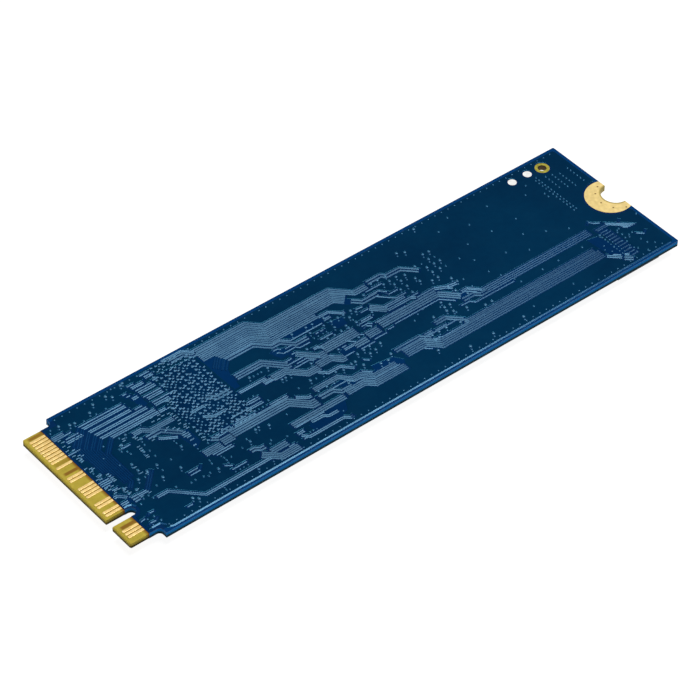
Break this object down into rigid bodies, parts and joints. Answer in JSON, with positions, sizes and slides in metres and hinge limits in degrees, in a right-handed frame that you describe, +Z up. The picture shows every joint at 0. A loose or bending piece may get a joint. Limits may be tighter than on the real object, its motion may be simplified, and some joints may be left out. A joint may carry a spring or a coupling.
{
  "type": "solid state drive",
  "caption": "Thin card-shaped solid state drive with a keyed edge connector at one end, a half-round screw notch at the other, and its chips on one side.",
  "frame": {"origin": "under the middle of the card's length and width, on the surface that the label rests on", "axes": "+X from the edge connector to the screw notch, +Y across the card, +Z up through the bare side; the key notch is on the -Y side"},
  "size_m": [0.08, 0.022, 0.0022],
  "materials": {
    "laminate_fr4": "glass-epoxy laminate, olive yellow, slightly translucent",
    "solder_mask": "glossy dark navy-teal solder mask",
    "gold_plating": "pale gold plating, satin to glossy",
    "tin_plating": "bright tinned pads",
    "package_substrate": "green package substrate with tin solder balls",
    "mould_compound": "fine-grained black mould compound",
    "ferrite": "dark grey pressed ferrite",
    "capacitor_ceramic": "brown ceramic body with tinned ends",
    "resistor_body": "black glazed top with tinned ends",
    "crystal_can": "metal lid on a ceramic base",
    "label_film": "plain silvery white label film"
  },
  "bodies": {
    "root": {"laminate": "laminate_fr4", "bare_side_solder_mask": "solder_mask", "component_side_solder_mask": "solder_mask", "screw_land": "gold_plating", "tooling_hole_plating": "gold_plating", "test_pad_inner": "tin_plating", "test_pad_outer": "tin_plating", "contacts_2_to_18": "gold_plating", "contact_22": "gold_plating", "contacts_30_to_32": "gold_plating", "contacts_38_to_44": "gold_plating", "contacts_50_to_52": "gold_plating", "contacts_56_to_58": "gold_plating", "contacts_70_to_74": "gold_plating", "contacts_1_to_57": "gold_plating", "contacts_67_to_75": "gold_plating", "controller_substrate": "package_substrate", "controller_cap": "mould_compound", "flash_1_substrate": "package_substrate", "flash_1_cap": "mould_compound", "flash_2_substrate": "package_substrate", "flash_2_cap": "mould_compound", "bus_buffer_substrate": "package_substrate", "bus_buffer_cap": "mould_compound", "power_management_chip": "mould_compound", "firmware_flash_chip": "mould_compound", "load_switch_chip": "mould_compound", "inductor_core_supply": "ferrite", "inductor_flash_supply": "ferrite", "inductor_io_supply": "ferrite", "crystal_oscillator": "crystal_can", "label": "label_film", "coupling_capacitor_1": "capacitor_ceramic", "coupling_capacitor_2": "capacitor_ceramic", "coupling_capacitor_3": "capacitor_ceramic", "coupling_capacitor_4": "capacitor_ceramic", "coupling_capacitor_5": "capacitor_ceramic", "coupling_capacitor_6": "capacitor_ceramic", "coupling_capacitor_7": "capacitor_ceramic", "coupling_capacitor_8": "capacitor_ceramic", "bulk_capacitor_1": "capacitor_ceramic", "bulk_capacitor_2": "capacitor_ceramic", "bulk_capacitor_3": "capacitor_ceramic", "bulk_capacitor_4": "capacitor_ceramic", "bulk_capacitor_5": "capacitor_ceramic", "bulk_capacitor_6": "capacitor_ceramic", "bulk_capacitor_7": "capacitor_ceramic", "bypass_capacitor_1": "capacitor_ceramic", "bypass_capacitor_2": "capacitor_ceramic", "bypass_capacitor_3": "capacitor_ceramic", "bypass_capacitor_4": "capacitor_ceramic", "resistor_1": "resistor_body", "resistor_2": "resistor_body", "resistor_3": "resistor_body", "resistor_4": "resistor_body", "resistor_5": "resistor_body", "resistor_6": "resistor_body"}
  },
  "joints": []
}
